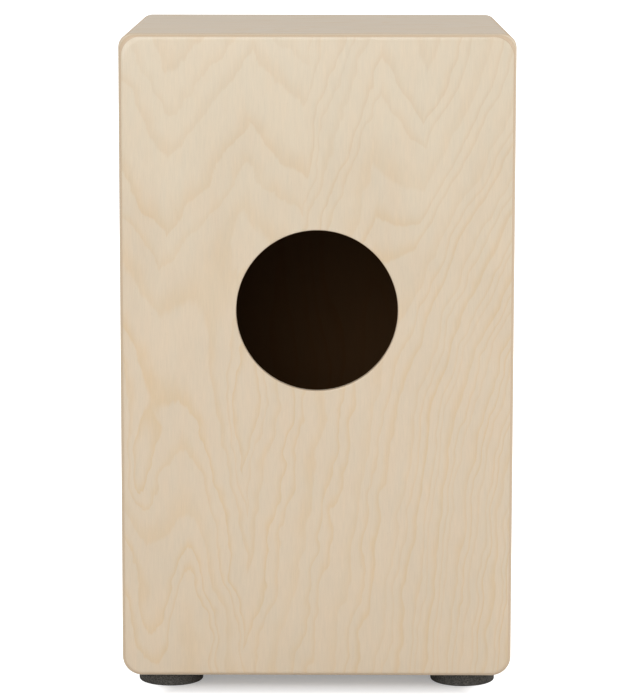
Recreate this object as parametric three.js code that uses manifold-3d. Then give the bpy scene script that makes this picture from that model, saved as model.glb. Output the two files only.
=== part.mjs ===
// A snare cajon: a box drum that the player sits on.
//
// A mitred birch plywood frame carries a glued rear panel with the sound hole and a thin
// screwed-on playing panel, the tapa. Inside, a batten with two sets of coiled snare wires
// hangs on hook-and-loop pads, with the wire tips resting on the back of the tapa. It pulls
// straight back towards the sound hole. Four screwed rubber feet carry the box.
//
// Frame: millimetres, +Z up, floor at z = 0, origin under the middle of the box.
// -Y is the side with the sound hole, +Y is the playing side, and left is -X.
import * as THREE from "three";
import { mergeVertices } from "three/addons/utils/BufferGeometryUtils.js";
import Module from "manifold-3d";

const wasm = await Module();
wasm.setup();

// ---------------------------------------------------------------- driving dimensions
const WIDTH = 300;
const DEPTH = 300;
const BODY_HEIGHT = 495;
const TOP_CORNER = 10.5; // radii of the box's long corners
const BOTTOM_CORNER = 15;
const WALL = 12; // top, bottom and side boards
const GLUE_LINE = 0.1; // gap left at every glued or clamped face
const FIT_GAP = 0.2; // gap round a screw in its hole
const OVERCUT = 1; // how far a cutter runs past the face it opens

const REAR = { thickness: 5, edgeRadius: 4, topFaceCorner: 18, bottomFaceCorner: 12 };
const TAPA = { thickness: 3, edgeRadius: 2, topFaceCorner: 10, bottomFaceCorner: 13 };
const SOUND_HOLE = { radius: 61.5, heightOnBody: 285, lipRadius: 1.2 };

const FOOT = {
  height: 11,
  radius: 25,
  edgeRadius: 1.6,
  fromCentre: 114, // along X and along Y
  recessRadius: 7.5,
  recessDepth: 5,
};
const WASHER = { radius: 6, thickness: 1 };

// Screws: shank diameter, length under the face they clamp, head diameter.
const TAPA_SCREW = { shank: 3.5, length: 25, head: 7 };
const BLOCK_SCREW = { shank: 3.5, length: 30, head: 7 };
const FOOT_SCREW = { shank: 4, length: 15, head: 8, headHeight: 2.6 };
const SNARE_SCREW = { shank: 3, length: 13, head: 6, headHeight: 2 };
const SCREW_POINT = 3; // length of the tapered point
const RECESS = { arm: 1.7, width: 0.8, depth: 1.4 }; // cross recess in each head

const TAPA_SIDE_SCREWS = [40, 178, 317, 455]; // heights on the body
const TAPA_END_SCREWS = [-99, -33, 33, 99]; // places along the top and bottom boards

const BATTEN = { leg: 20, bluntness: 1.5, frontClearance: 2 };

const SNARE_LEAN = THREE.MathUtils.degToRad(10); // the wires lean forwards by this
const SNARE_HEIGHT = 352; // middle of the bar above the floor
const BAR = { length: 268, depth: 18, height: 24, edge: 2 };
const SNARE_SET = { width: 100, height: 14, thickness: 1, fromMiddle: 54, screwSpread: 40, screwDrop: 3.5 };
const WIRE = { count: 20, pitch: 4.8, radius: 0.9, length: 98, start: 0.5, sink: 0.15 };
const PAD = { width: 16, height: 22, thickness: 1.5, fromMiddle: 125 };
const BLOCK = { width: 22, height: 50, frontClearance: 2, screwSpread: 16 };

const ARC_STEPS = 6; // facets in a quarter of a large corner
const EDGE_STEPS = 4; // facets in a rounded edge
const ROUND_STEPS = 16; // facets round a screw
const DISC_STEPS = 40; // facets round a foot
const HOLE_STEPS = 64; // facets round the sound hole
const WIRE_STEPS = 6;

// ---------------------------------------------------------------- derived places
const QUARTER = Math.PI / 2;
const BODY_BOTTOM = FOOT.height;
const BODY_TOP = BODY_BOTTOM + BODY_HEIGHT;
const BODY_MIDDLE = (BODY_BOTTOM + BODY_TOP) / 2;
const FRAME_REAR = -DEPTH / 2 + REAR.thickness + GLUE_LINE;
const FRAME_FRONT = DEPTH / 2 - TAPA.thickness - GLUE_LINE;
const TAPA_BACK = DEPTH / 2 - TAPA.thickness;
const INNER_X = WIDTH / 2 - WALL;
const WALL_MIDDLE_X = WIDTH / 2 - WALL / 2;
const LEFT_RIGHT = { left: -1, right: 1 };
const REAR_FRONT = { rear: -1, front: 1 };

// The snare frame: its origin is on the bar's front face, its +Z runs along the wires.
const WIRE_CENTRE = GLUE_LINE + SNARE_SET.thickness + WIRE.radius - WIRE.sink;
const TIP_REACH =
  (WIRE.start + WIRE.length) * Math.sin(SNARE_LEAN) +
  (WIRE_CENTRE + WIRE.radius) * Math.cos(SNARE_LEAN);
const SNARE_Y = TAPA_BACK - GLUE_LINE - TIP_REACH;
const LOOP_FRONT = GLUE_LINE + PAD.thickness;
const HOOK_BACK = LOOP_FRONT + GLUE_LINE;
const BLOCK_BACK = HOOK_BACK + PAD.thickness + GLUE_LINE;
const BLOCK_FRONT = TAPA_BACK - BLOCK.frontClearance;

/** Y of a snare block's rear face, which leans with the snare, at a height. */
const blockRearAt = (z) =>
  SNARE_Y + BLOCK_BACK / Math.cos(SNARE_LEAN) + (z - SNARE_HEIGHT) * Math.tan(SNARE_LEAN);

// ---------------------------------------------------------------- materials
const material = (color, roughness, metalness = 0) =>
  new THREE.MeshStandardMaterial({ color, roughness, metalness });

const birch = material(0xdfcbac, 0.55);
const spruce = material(0xd9bd8c, 0.7);
const beech = material(0xc89b6b, 0.6);
const rubber = material(0x3e3c3a, 0.9);
const zincedSteel = material(0xb8bcc0, 0.35, 1);
const blackSteel = material(0x1c1c1e, 0.4, 0.8);
const snareSteel = material(0xc9cbce, 0.3, 1);
const padFabric = material(0x18181a, 0.95);

// ---------------------------------------------------------------- solids
/** A closed geometry as a manifold solid. */
function solidOf(geometry) {
  const bare = geometry.clone();
  bare.deleteAttribute("normal");
  bare.deleteAttribute("uv");
  const merged = mergeVertices(bare, 1e-4);
  return new wasm.Manifold(
    new wasm.Mesh({
      numProp: 3,
      vertProperties: merged.attributes.position.array,
      triVerts: new Uint32Array(merged.index.array),
    }),
  );
}

/** A manifold solid as a geometry. */
function geometryOf(solid) {
  const mesh = solid.getMesh();
  return new THREE.BufferGeometry()
    .setAttribute("position", new THREE.BufferAttribute(mesh.vertProperties, 3))
    .setIndex(new THREE.BufferAttribute(mesh.triVerts, 1));
}

/** The body geometry with every cutter geometry taken out of it. */
function cut(body, cutters) {
  const solid = cutters.reduce((rest, cutter) => rest.subtract(solidOf(cutter)), solidOf(body));
  return geometryOf(solid);
}

/** A solid of revolution round Z, from [radius, height] points that run up its outside. */
function turned(profile, steps) {
  const points = profile.map(([radius, height]) => new THREE.Vector2(radius, height));
  return new THREE.LatheGeometry(points, steps).rotateX(QUARTER);
}

/** A cylinder along Z from one height to another. */
function rod(radius, from, to, steps = ROUND_STEPS) {
  return turned([[0, from], [radius, from], [radius, to], [0, to]], steps);
}

/** A prism along Y, from the rear to the front, whose outline is drawn in X and Z. */
function prismAlongY(shape, rear, front) {
  return new THREE.ExtrudeGeometry(shape, {
    depth: front - rear,
    bevelEnabled: false,
    curveSegments: ARC_STEPS,
  })
    .rotateX(QUARTER)
    .translate(0, front, 0);
}

/** A box from its size, resting with its middle on the origin. */
const box = (x, y, z) => new THREE.BoxGeometry(x, y, z);

/**
 * A face panel of the box in X and Y, with its outer face at z = thickness and its outer
 * edge rounded. The panel is built from rings that step inwards over the edge, and their
 * corners go from the box's own radii to those of the face.
 */
function roundedPanel({ thickness, edgeRadius, topFaceCorner, bottomFaceCorner }) {
  const rings = [[0, 0, TOP_CORNER, BOTTOM_CORNER]];
  for (let step = 0; step <= EDGE_STEPS; step++) {
    const angle = (step / EDGE_STEPS) * QUARTER;
    const share = 1 - Math.cos(angle);
    rings.push([
      edgeRadius * share,
      thickness - edgeRadius * (1 - Math.sin(angle)),
      TOP_CORNER + (topFaceCorner - TOP_CORNER) * share,
      BOTTOM_CORNER + (bottomFaceCorner - BOTTOM_CORNER) * share,
    ]);
  }
  const perRing = 4 * (ARC_STEPS + 1);
  const positions = [];
  for (const [inset, z, topRadius, bottomRadius] of rings) {
    const corners = [[1, 1], [-1, 1], [-1, -1], [1, -1]];
    corners.forEach(([signX, signY], corner) => {
      const radius = signY > 0 ? topRadius : bottomRadius;
      const centreX = signX * (WIDTH / 2 - inset - radius);
      const centreY = signY * (BODY_HEIGHT / 2 - inset - radius);
      for (let step = 0; step <= ARC_STEPS; step++) {
        const angle = (corner + step / ARC_STEPS) * QUARTER;
        positions.push(centreX + radius * Math.cos(angle), centreY + radius * Math.sin(angle), z);
      }
    });
  }
  const bottomCentre = positions.length / 3;
  const topCentre = bottomCentre + 1;
  positions.push(0, 0, 0, 0, 0, thickness);

  const faces = [];
  const lastRing = (rings.length - 1) * perRing;
  for (let i = 0; i < perRing; i++) {
    const next = (i + 1) % perRing;
    for (let ring = 0; ring < lastRing; ring += perRing) {
      const above = ring + perRing;
      faces.push(ring + i, ring + next, above + next, ring + i, above + next, above + i);
    }
    faces.push(bottomCentre, next, i, topCentre, lastRing + i, lastRing + next);
  }
  return new THREE.BufferGeometry()
    .setAttribute("position", new THREE.Float32BufferAttribute(positions, 3))
    .setIndex(faces);
}

// ---------------------------------------------------------------- fasteners
// A screw points down -Z, with the face it clamps at z = 0.
const screwShank = ({ shank, length }) => [
  [0, -length],
  [shank / 2, -length + SCREW_POINT],
];

/** A cross-shaped cutter that leaves a driver recess below the given height. */
function crossRecess(top) {
  const { arm, width, depth } = RECESS;
  const half = width / 2;
  const cross = new THREE.Shape();
  cross.moveTo(arm, -half);
  for (let quarter = 0; quarter < 4; quarter++) {
    const turn = (x, y) => new THREE.Vector2(x, y).rotateAround(new THREE.Vector2(), quarter * QUARTER);
    for (const corner of [turn(arm, -half), turn(arm, half), turn(half, half)]) {
      cross.lineTo(corner.x, corner.y);
    }
  }
  return new THREE.ExtrudeGeometry(cross, { depth: depth + OVERCUT, bevelEnabled: false }).translate(
    0,
    0,
    top - depth,
  );
}

/** A countersunk screw whose flat head ends flush with z = 0. */
function countersunkScrew(size) {
  const coneDepth = (size.head - size.shank) / 2;
  const profile = [
    ...screwShank(size),
    [size.shank / 2, -coneDepth],
    [size.head / 2, 0],
    [0, 0],
  ];
  return cut(turned(profile, ROUND_STEPS), [crossRecess(0)]);
}

/** A pan-head screw whose head stands on z = 0. */
function panScrew(size) {
  const rim = size.headHeight * 0.6;
  const profile = [
    ...screwShank(size),
    [size.shank / 2, 0],
    [size.head / 2, 0],
    [size.head / 2, rim],
    [size.head * 0.3, size.headHeight],
    [0, size.headHeight],
  ];
  return cut(turned(profile, ROUND_STEPS), [crossRecess(size.headHeight)]);
}

/** The straight hole for a screw's shank, open above z = 0. */
const shankHole = ({ shank, length }) => rod(shank / 2 + FIT_GAP, -length - FIT_GAP, OVERCUT);

/** The hole for a countersunk screw: a straight hole that flares to the head. */
function countersunkHole(size) {
  const shank = size.shank / 2 + FIT_GAP;
  const head = size.head / 2 + FIT_GAP;
  const profile = [
    [0, -size.length - FIT_GAP],
    [shank, -size.length - FIT_GAP],
    [shank, shank - head],
    [head, 0],
    [head, OVERCUT],
    [0, OVERCUT],
  ];
  return turned(profile, ROUND_STEPS);
}

/** A geometry made to point down -Z, turned so that it points along a direction from a place. */
function aimed(geometry, direction, place) {
  const turn = new THREE.Quaternion().setFromUnitVectors(new THREE.Vector3(0, 0, -1), direction);
  return geometry.applyQuaternion(turn).translate(...place);
}

const REARWARDS = new THREE.Vector3(0, -1, 0);
const UPWARDS = new THREE.Vector3(0, 0, 1);
const outwards = (sign) => new THREE.Vector3(sign, 0, 0);

// ---------------------------------------------------------------- where the screws go
/** Name and place of each tapa screw, round the four edges of the playing panel. */
function tapaScrewPlaces() {
  const places = [];
  for (const [side, sign] of Object.entries(LEFT_RIGHT)) {
    TAPA_SIDE_SCREWS.forEach((height, index) => {
      const place = [sign * WALL_MIDDLE_X, DEPTH / 2, BODY_BOTTOM + height];
      places.push({ name: `tapa_screw_${side}_${index + 1}`, board: side, place });
    });
  }
  const ends = { bottom: BODY_BOTTOM + WALL / 2, top: BODY_TOP - WALL / 2 };
  for (const [end, z] of Object.entries(ends)) {
    TAPA_END_SCREWS.forEach((x, index) => {
      places.push({ name: `tapa_screw_${end}_${index + 1}`, board: end, place: [x, DEPTH / 2, z] });
    });
  }
  return places;
}

/** Name and place of each foot, on the floor under the box. */
function footPlaces() {
  const places = [];
  for (const [end, signY] of Object.entries(REAR_FRONT)) {
    for (const [side, signX] of Object.entries(LEFT_RIGHT)) {
      places.push({
        name: `${end}_${side}`,
        place: [signX * FOOT.fromCentre, signY * FOOT.fromCentre, 0],
      });
    }
  }
  return places;
}

/** Place of each screw that holds a snare block to one side board. */
function blockScrewPlaces(sign) {
  return [-1, 1].map((end) => {
    const z = SNARE_HEIGHT + end * BLOCK.screwSpread;
    const y = (blockRearAt(z) + BLOCK_FRONT) / 2;
    return [sign * (INNER_X - GLUE_LINE - BLOCK.width), y, z];
  });
}

const tapaScrews = tapaScrewPlaces();
const feet = footPlaces();

/** Cutters for the tapa screws that enter one board, as they cross the frame's front edge. */
const tapaCuttersFor = (board) =>
  tapaScrews
    .filter((screw) => screw.board === board)
    .map(({ place }) => aimed(shankHole(TAPA_SCREW), REARWARDS, place));

// ---------------------------------------------------------------- the box
/**
 * Outline of one board of the frame, in X and Z, with its outer face at z = 0. Both ends
 * are mitred at 45 degrees, and each carries half of one rounded corner of the box, whose
 * radius is given for the -X end and the +X end.
 */
function mitredBoard(length, [minusCorner, plusCorner]) {
  const half = length / 2;
  const mitre = (radius) => QUARTER / 2 + GLUE_LINE / 2 / radius;
  const innerEnd = half - WALL - (GLUE_LINE / 2) * Math.SQRT2;
  const outline = new THREE.Shape();
  outline.moveTo(-innerEnd, -WALL);
  outline.lineTo(innerEnd, -WALL);
  outline.absarc(half - plusCorner, -plusCorner, plusCorner, mitre(plusCorner), QUARTER);
  outline.absarc(
    minusCorner - half,
    -minusCorner,
    minusCorner,
    QUARTER,
    2 * QUARTER - mitre(minusCorner),
  );
  outline.closePath();
  return outline;
}

/** A frame board, turned round Y so that its outer face looks the given way from the middle. */
function frameBoard(length, corners, turnY, fromMiddle) {
  return prismAlongY(mitredBoard(length, corners), FRAME_REAR, FRAME_FRONT)
    .translate(0, 0, fromMiddle)
    .rotateY(turnY)
    .translate(0, 0, BODY_MIDDLE);
}

function sideBoard(side) {
  const sign = LEFT_RIGHT[side];
  const blockCutters = blockScrewPlaces(sign).map((place) =>
    aimed(shankHole(BLOCK_SCREW), outwards(sign), place),
  );
  const corners = sign > 0 ? [TOP_CORNER, BOTTOM_CORNER] : [BOTTOM_CORNER, TOP_CORNER];
  return cut(frameBoard(BODY_HEIGHT, corners, sign * QUARTER, WIDTH / 2), [
    ...tapaCuttersFor(side),
    ...blockCutters,
  ]);
}

function topBoard() {
  const board = frameBoard(WIDTH, [TOP_CORNER, TOP_CORNER], 0, BODY_HEIGHT / 2);
  return cut(board, tapaCuttersFor("top"));
}

function bottomBoard() {
  const footCutters = feet.map(({ place: [x, y] }) =>
    aimed(shankHole(FOOT_SCREW), UPWARDS, [x, y, FOOT.recessDepth - WASHER.thickness]),
  );
  const board = frameBoard(WIDTH, [BOTTOM_CORNER, BOTTOM_CORNER], 2 * QUARTER, BODY_HEIGHT / 2);
  return cut(board, [
    ...tapaCuttersFor("bottom"),
    ...footCutters,
  ]);
}

/** The rear panel, with the sound hole's outer lip rounded over. */
function rearPanel() {
  const { radius, lipRadius, heightOnBody } = SOUND_HOLE;
  const plate = roundedPanel(REAR);
  const lip = [];
  for (let step = 0; step <= EDGE_STEPS; step++) {
    const angle = (step / EDGE_STEPS) * QUARTER;
    const flare = lipRadius * (1 - Math.cos(angle));
    lip.push([radius + flare, REAR.thickness - lipRadius * (1 - Math.sin(angle))]);
  }
  const holeProfile = [
    [0, -OVERCUT],
    [radius, -OVERCUT],
    ...lip,
    [radius + lipRadius, REAR.thickness + OVERCUT],
    [0, REAR.thickness + OVERCUT],
  ];
  const hole = turned(holeProfile, HOLE_STEPS).translate(0, heightOnBody - BODY_HEIGHT / 2, 0);
  return cut(plate, [hole])
    .rotateX(QUARTER)
    .translate(0, REAR.thickness - DEPTH / 2, BODY_MIDDLE);
}

/** The playing panel, with a countersunk hole for each of its screws. */
function playingPanel() {
  const plate = roundedPanel(TAPA)
    .rotateX(QUARTER)
    .rotateZ(2 * QUARTER)
    .translate(0, TAPA_BACK, BODY_MIDDLE);
  return cut(
    plate,
    tapaScrews.map(({ place }) => aimed(countersunkHole(TAPA_SCREW), REARWARDS, place)),
  );
}

/** A blunt triangular batten that stiffens one inner corner of the frame. */
function cornerBatten(signX, signZ) {
  const { leg, bluntness, frontClearance } = BATTEN;
  const outline = new THREE.Shape();
  outline.moveTo(0, 0);
  for (const [across, up] of [[leg, 0], [leg, bluntness], [bluntness, leg], [0, leg]]) {
    outline.lineTo(across, up);
  }
  // Each corner is the bottom-left one turned round Y by whole quarters.
  const turns = { "-1,-1": 0, "-1,1": 1, "1,1": 2, "1,-1": 3 }[`${signX},${signZ}`];
  const cornerX = signX * (INNER_X - GLUE_LINE);
  const cornerZ = BODY_MIDDLE + signZ * (BODY_HEIGHT / 2 - WALL - GLUE_LINE);
  return prismAlongY(outline, FRAME_REAR, FRAME_FRONT - frontClearance)
    .rotateY(turns * QUARTER)
    .translate(cornerX, 0, cornerZ);
}

// ---------------------------------------------------------------- feet
/** A rubber foot with a stepped hole, so that the screw and washer stay clear of the floor. */
function rubberFoot() {
  const { height, radius, edgeRadius, recessRadius, recessDepth } = FOOT;
  const top = height - GLUE_LINE;
  const boltRadius = FOOT_SCREW.shank / 2 + FIT_GAP;
  const edge = [];
  for (let step = 0; step <= EDGE_STEPS; step++) {
    const angle = (step / EDGE_STEPS) * QUARTER;
    edge.push([
      radius - edgeRadius * (1 - Math.sin(angle)),
      edgeRadius * (1 - Math.cos(angle)),
    ]);
  }
  const start = [boltRadius, recessDepth];
  const profile = [start, [recessRadius, recessDepth], [recessRadius, 0], ...edge, [radius, top]];
  return turned([...profile, [boltRadius, top], start], DISC_STEPS);
}

/** A flat washer that stands on z = 0. */
function washer() {
  const inner = FOOT_SCREW.shank / 2 + FIT_GAP;
  const { radius, thickness } = WASHER;
  const start = [inner, 0];
  return turned([start, [radius, 0], [radius, thickness], [inner, thickness], start], ROUND_STEPS);
}

// ---------------------------------------------------------------- the snare, in the snare frame
/** Cutters or screws at the two holes of one snare set, pointing back into the bar. */
const snareScrewPlaces = (sign) =>
  [-1, 1].map((end) => [
    sign * SNARE_SET.fromMiddle + end * SNARE_SET.screwSpread,
    GLUE_LINE + SNARE_SET.thickness,
    -SNARE_SET.screwDrop,
  ]);

/** The bar that carries both snare sets, with its long edges broken. */
function snareBar() {
  const { length, depth, height, edge } = BAR;
  const outline = new THREE.Shape();
  outline.moveTo(-height / 2 + edge, -depth);
  const corners = [
    [height / 2 - edge, -depth],
    [height / 2, -depth + edge],
    [height / 2, -edge],
    [height / 2 - edge, 0],
    [-height / 2 + edge, 0],
    [-height / 2, -edge],
    [-height / 2, -depth + edge],
  ];
  corners.forEach(([z, y]) => outline.lineTo(z, y));
  const bar = new THREE.ExtrudeGeometry(outline, { depth: length, bevelEnabled: false })
    .rotateY(-QUARTER)
    .translate(length / 2, 0, 0);
  const cutters = Object.values(LEFT_RIGHT)
    .flatMap(snareScrewPlaces)
    .map((place) => aimed(shankHole(SNARE_SCREW), REARWARDS, place));
  return cut(bar, cutters);
}

/** One snare set: an end plate with a row of wires soldered to its front face. */
function snareSet(sign) {
  const { width, height, thickness } = SNARE_SET;
  const plate = box(width, thickness, height).translate(0, GLUE_LINE + thickness / 2, 0);
  const wires = [];
  for (let index = 0; index < WIRE.count; index++) {
    const x = (index - (WIRE.count - 1) / 2) * WIRE.pitch;
    const wire = rod(WIRE.radius, WIRE.start, WIRE.start + WIRE.length, WIRE_STEPS);
    wires.push(solidOf(wire.translate(x, WIRE_CENTRE, 0)));
  }
  const joined = wires
    .reduce((whole, wire) => whole.add(wire), solidOf(plate))
    .translate([sign * SNARE_SET.fromMiddle, 0, 0]);
  const cutters = snareScrewPlaces(sign).map((place) =>
    aimed(shankHole(SNARE_SCREW), REARWARDS, place),
  );
  return cut(geometryOf(joined), cutters);
}

/** One half of a hook-and-loop pair, with its back on the given depth of the snare frame. */
const pad = (sign, back) =>
  box(PAD.width, PAD.thickness, PAD.height).translate(
    sign * PAD.fromMiddle,
    back + PAD.thickness / 2,
    0,
  );

// ---------------------------------------------------------------- the snare blocks, in the box's frame
/** A block glued and screwed inside one side board. Its rear face leans with the snare. */
function snareBlock(sign) {
  const bottom = SNARE_HEIGHT - BLOCK.height / 2;
  const top = SNARE_HEIGHT + BLOCK.height / 2;
  const outline = new THREE.Shape();
  outline.moveTo(BLOCK_FRONT, bottom);
  outline.lineTo(BLOCK_FRONT, top);
  outline.lineTo(blockRearAt(top), top);
  outline.lineTo(blockRearAt(bottom), bottom);
  outline.closePath();
  const innerFace = INNER_X - GLUE_LINE - BLOCK.width;
  const block = new THREE.ExtrudeGeometry(outline, { depth: BLOCK.width, bevelEnabled: false })
    .rotateX(QUARTER)
    .rotateZ(QUARTER)
    .translate(sign > 0 ? innerFace : -innerFace - BLOCK.width, 0, 0);
  const cutters = blockScrewPlaces(sign).map((place) =>
    aimed(countersunkHole(BLOCK_SCREW), outwards(sign), place),
  );
  return cut(block, cutters);
}

// ---------------------------------------------------------------- assembly
const cajon = new THREE.Group();

function addPart(name, geometry, finish, parent = cajon) {
  const mesh = new THREE.Mesh(geometry, finish);
  mesh.name = name;
  parent.add(mesh);
  return mesh;
}

function addBox() {
  addPart("rear_panel", rearPanel(), birch);
  addPart("tapa", playingPanel(), birch);
  addPart("left_side_panel", sideBoard("left"), birch);
  addPart("right_side_panel", sideBoard("right"), birch);
  addPart("top_panel", topBoard(), birch);
  addPart("bottom_panel", bottomBoard(), birch);
  for (const [side, signX] of Object.entries(LEFT_RIGHT)) {
    addPart(`corner_batten_bottom_${side}`, cornerBatten(signX, -1), spruce);
    addPart(`corner_batten_top_${side}`, cornerBatten(signX, 1), spruce);
  }
  for (const { name, place } of tapaScrews) {
    const screw = aimed(countersunkScrew(TAPA_SCREW), REARWARDS, place);
    addPart(name, screw, blackSteel);
  }
}

function addFeet() {
  for (const { name, place } of feet) {
    const foot = new THREE.Group();
    foot.position.set(...place);
    cajon.add(foot);
    addPart(`foot_${name}`, rubberFoot(), rubber, foot);
    const washerTop = FOOT.recessDepth - GLUE_LINE;
    addPart(`foot_washer_${name}`, washer(), zincedSteel, foot).position.z =
      washerTop - WASHER.thickness;
    const underWasher = washerTop - WASHER.thickness - GLUE_LINE;
    const screw = aimed(panScrew(FOOT_SCREW), UPWARDS, [0, 0, underWasher]);
    addPart(`foot_screw_${name}`, screw, zincedSteel, foot);
  }
}

function addSnareBlocks(leaning) {
  for (const [side, sign] of Object.entries(LEFT_RIGHT)) {
    addPart(`snare_block_${side}`, snareBlock(sign), beech);
    blockScrewPlaces(sign).forEach((place, index) => {
      const screw = aimed(countersunkScrew(BLOCK_SCREW), outwards(sign), place);
      addPart(`snare_block_screw_${side}_${index + 1}`, screw, zincedSteel);
    });
    addPart(`hook_pad_${side}`, pad(sign, HOOK_BACK), padFabric, leaning);
  }
}

function addSnareUnit(leaning) {
  addPart("snare_bar", snareBar(), beech, leaning);
  for (const [side, sign] of Object.entries(LEFT_RIGHT)) {
    addPart(`snare_set_${side}`, snareSet(sign), snareSteel, leaning);
    addPart(`loop_pad_${side}`, pad(sign, GLUE_LINE), padFabric, leaning);
    snareScrewPlaces(sign).forEach(([x, y, z], index) => {
      const screw = aimed(panScrew(SNARE_SCREW), REARWARDS, [x, y + GLUE_LINE, z]);
      addPart(`snare_screw_${side}_${index + 1}`, screw, zincedSteel, leaning);
    });
  }
}

addBox();
addFeet();
const snareFrame = new THREE.Group();
snareFrame.position.set(0, SNARE_Y, SNARE_HEIGHT);
snareFrame.rotation.x = -SNARE_LEAN;
cajon.add(snareFrame);
addSnareBlocks(snareFrame);
addSnareUnit(snareFrame);

export default cajon;
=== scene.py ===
"""The looks of a snare cajon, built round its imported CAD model.

Metres, +Z up, floor at z = 0, origin under the middle of the box. -Y is the side with the
sound hole and +Y the playing side. Small sizes are written as a number times MM.
"""

import math

import bmesh
import bpy
import numpy as np
from mathutils import Matrix, Vector


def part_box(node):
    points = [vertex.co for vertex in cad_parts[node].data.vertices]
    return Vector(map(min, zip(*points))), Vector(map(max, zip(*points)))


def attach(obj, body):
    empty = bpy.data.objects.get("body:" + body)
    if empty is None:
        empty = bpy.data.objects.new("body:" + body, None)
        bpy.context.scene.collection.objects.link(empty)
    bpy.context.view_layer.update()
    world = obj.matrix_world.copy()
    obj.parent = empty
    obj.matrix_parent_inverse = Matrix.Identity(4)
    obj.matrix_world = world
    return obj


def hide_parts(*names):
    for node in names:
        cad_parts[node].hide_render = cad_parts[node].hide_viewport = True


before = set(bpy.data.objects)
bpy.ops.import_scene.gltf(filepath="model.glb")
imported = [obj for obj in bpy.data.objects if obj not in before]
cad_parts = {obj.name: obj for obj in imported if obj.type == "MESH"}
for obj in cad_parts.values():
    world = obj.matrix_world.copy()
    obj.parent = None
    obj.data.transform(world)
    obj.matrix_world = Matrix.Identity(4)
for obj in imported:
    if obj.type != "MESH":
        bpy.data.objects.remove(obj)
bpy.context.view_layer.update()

MM = 0.001
QUARTER = math.pi / 2
BOX_BODY = "box"
SNARE_BODY = "snare_unit"
SIDES = {"left": -1, "right": 1}
NODES = sorted(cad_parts)

# ---------------------------------------------------------------- places, from the frame
REAR_LOW, REAR_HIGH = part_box("rear_panel")
TAPA_LOW, TAPA_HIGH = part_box("tapa")
FRAME_LOW, FRAME_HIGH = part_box("top_panel")
BODY_WIDTH = REAR_HIGH.x - REAR_LOW.x
BODY_DEPTH = TAPA_HIGH.y - REAR_LOW.y
BODY_BOTTOM = REAR_LOW.z
BODY_TOP = REAR_HIGH.z
BODY_HEIGHT = BODY_TOP - BODY_BOTTOM
BODY_MIDDLE = (BODY_TOP + BODY_BOTTOM) / 2
REAR_THICKNESS = REAR_HIGH.y - REAR_LOW.y
TAPA_THICKNESS = TAPA_HIGH.y - TAPA_LOW.y
WALL = FRAME_HIGH.z - FRAME_LOW.z

TOP_CORNER = 10.5 * MM  # radii of the box's long corners, and of each panel's face
BOTTOM_CORNER = 15 * MM
REAR_EDGE_RADIUS = 4 * MM
REAR_FACE_CORNERS = (18 * MM, 12 * MM)
TAPA_EDGE_RADIUS = 2 * MM
TAPA_FACE_CORNERS = (10 * MM, 13 * MM)
HOLE_RADIUS = 61.5 * MM
HOLE_LIP = 1.2 * MM
HOLE_HEIGHT = BODY_BOTTOM + 285 * MM
SEAM_SOFTNESS = 0.45 * MM  # the tiny chamfer where one board meets another
SUPPORT = 0.6 * MM  # a flat face keeps a strip this wide next to a rounded edge
GLUE_LINE = 0.1 * MM
FIT_GAP = 0.2 * MM

TAPA_SCREW = {"shank": 3.5, "head": 7.0, "length": 25, "head_height": 0}
BLOCK_SCREW = {"shank": 3.5, "head": 7.0, "length": 30, "head_height": 0}
FOOT_SCREW = {"shank": 4.0, "head": 8.0, "length": 15, "head_height": 2.6}
SNARE_SCREW = {"shank": 3.0, "head": 6.0, "length": 13, "head_height": 2.0}
FOOT_BORE = FOOT_SCREW["shank"] / 2 * MM + FIT_GAP  # a radius, also of the foot's washer

SNARE_LEAN = math.radians(10)
BAR_DEPTH = 18 * MM
PLATE_THICKNESS = 1 * MM
PLATE_HEIGHT = 14 * MM
WIRE_COUNT = 20
WIRE_PITCH = 4.8 * MM
WIRE_START = 0.5 * MM
WIRE_LENGTH = 98 * MM
WIRE_RADIUS = 0.9 * MM
WIRE_SINK = 0.15 * MM
SNARE_FROM_MIDDLE = 54 * MM
SNARE_SCREW_SPREAD = 40 * MM  # from a snare set's middle, along the bar
SNARE_SCREW_DROP = 3.5 * MM

CREASE = math.radians(35)  # faces that meet at more than this stay sharp
BATTEN_SOFTNESS = 0.6 * MM  # how far the edges of the CAD's own meshes are taken off
BEECH_SOFTNESS = 0.8 * MM
PAD_SOFTNESS = 0.3 * MM


# ---------------------------------------------------------------- mesh helpers
def new_object(name, vertices, faces):
    """A mesh as an object, facing out, smooth except where its faces meet at a crease."""
    mesh = bpy.data.meshes.new(name)
    mesh.from_pydata([tuple(v) for v in vertices], [], faces)
    outwards = bmesh.new()
    outwards.from_mesh(mesh)
    bmesh.ops.recalc_face_normals(outwards, faces=outwards.faces)
    outwards.to_mesh(mesh)
    outwards.free()
    mesh.polygons.foreach_set("use_smooth", [True] * len(mesh.polygons))
    mesh.set_sharp_from_angle(angle=CREASE)
    piece = bpy.data.objects.new(name, mesh)
    bpy.context.scene.collection.objects.link(piece)
    return piece


def dress(piece, material, slot, body, *nodes):
    """Gives a new piece its material and its body, and hides the CAD nodes that it stands for."""
    piece.data.materials.clear()
    piece.data.materials.append(material)
    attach(piece, body)
    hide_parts(*nodes)


def ring_faces(count, rings, closed=False):
    """Quads between numbered rings of points, round each ring and from ring to ring."""
    faces = []
    for ring in range(rings if closed else rings - 1):
        low = ring * count
        high = (ring + 1) % rings * count
        for i in range(count):
            j = (i + 1) % count
            faces.append((low + i, low + j, high + j, high + i))
    return faces


def lofted(name, rings, closed=False):
    """A mesh through rings of points that ends in flat caps, or runs back to its first ring."""
    count = len(rings[0])
    faces = ring_faces(count, len(rings), closed)
    if not closed:
        last = (len(rings) - 1) * count
        faces.append(tuple(reversed(range(count))))
        faces.append(tuple(range(last, last + count)))
    return new_object(name, [point for ring in rings for point in ring], faces)


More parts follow.
